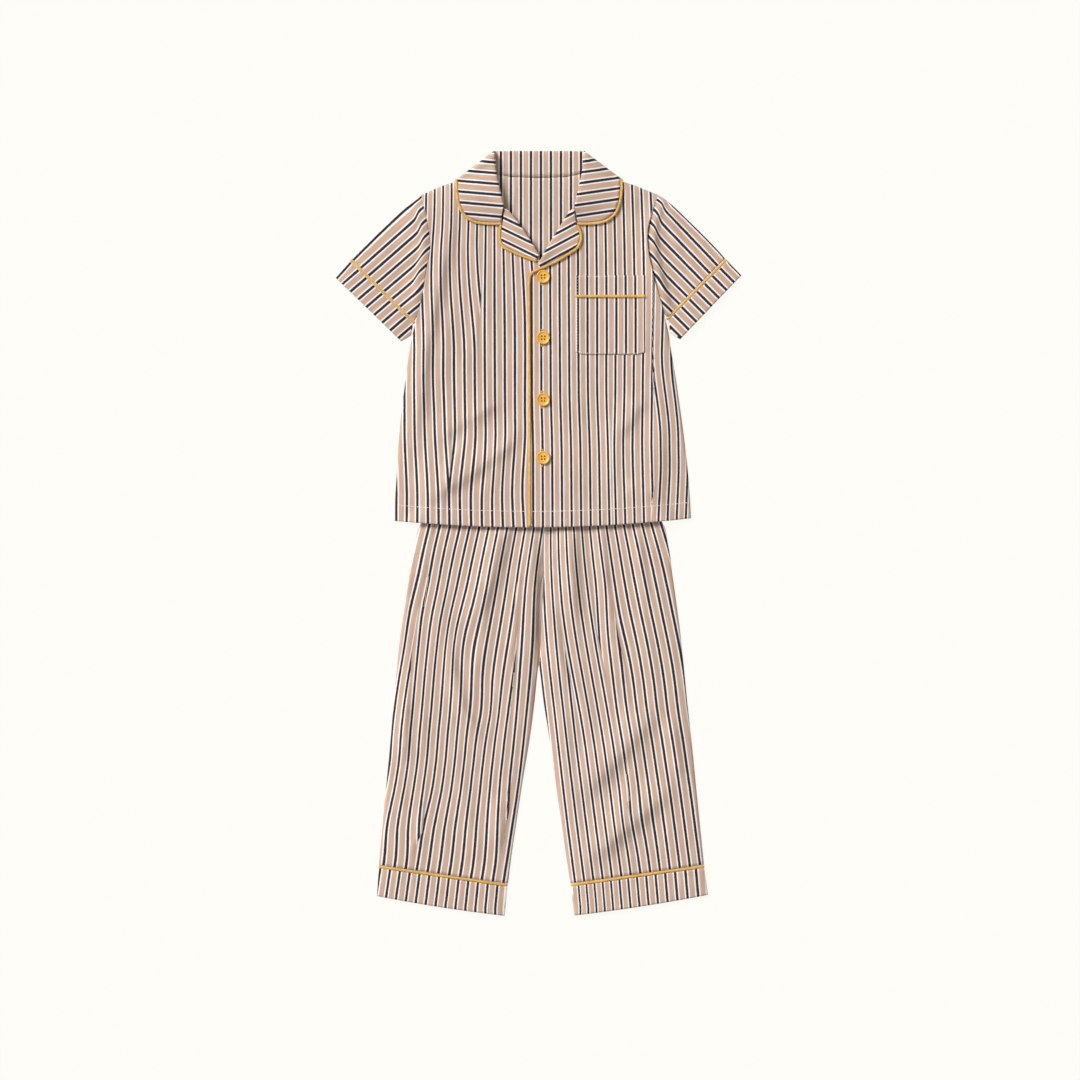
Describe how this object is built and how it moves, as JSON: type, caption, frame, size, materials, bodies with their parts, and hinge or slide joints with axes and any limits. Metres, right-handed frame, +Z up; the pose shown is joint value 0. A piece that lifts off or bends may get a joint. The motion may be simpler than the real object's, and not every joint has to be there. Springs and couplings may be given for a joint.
{
  "type": "child's pyjama set",
  "caption": "Child's short-sleeved piped pyjama shirt laid over the waist of its long trousers.",
  "frame": {"origin": "on the ground under the middle of the set's outline, as it lies on its back", "axes": "+Y along the set from the leg hems towards the collar, +Z up off the ground towards the viewer, +X towards the wearer's left side"},
  "size_m": [0.4709, 0.8871, 0.015],
  "materials": {
    "stripe_tan": "soft woven cotton, tan with narrow navy and white stripes along the grain",
    "collar_tan": "the same striped cotton, two layers, turned and pressed",
    "piping_mustard": "mustard cotton piping, folded bias strip, slight sheen",
    "button_mustard": "mustard polyester, polished"
  },
  "bodies": {
    "root": {"shirt_back": "stripe_tan", "shirt_front_right": "stripe_tan", "shirt_front_left": "stripe_tan", "sleeve_right": "stripe_tan", "sleeve_left": "stripe_tan", "sleeve_cuff_right": "stripe_tan", "sleeve_cuff_left": "stripe_tan", "sleeve_piping_right": "piping_mustard", "sleeve_piping_left": "piping_mustard", "collar": "collar_tan", "collar_piping": "piping_mustard", "lapel_right": "collar_tan", "lapel_left": "collar_tan", "lapel_piping_right": "piping_mustard", "front_piping_left": "piping_mustard", "pocket": "stripe_tan", "pocket_piping": "piping_mustard", "button_1": "button_mustard", "button_2": "button_mustard", "button_3": "button_mustard", "button_4": "button_mustard", "trousers_front_right": "stripe_tan", "trousers_front_left": "stripe_tan", "trousers_back_right": "stripe_tan", "trousers_back_left": "stripe_tan", "waistband": "stripe_tan", "leg_piping_right": "piping_mustard", "leg_piping_left": "piping_mustard", "leg_cuff_right": "stripe_tan", "leg_cuff_left": "stripe_tan"}
  },
  "joints": []
}
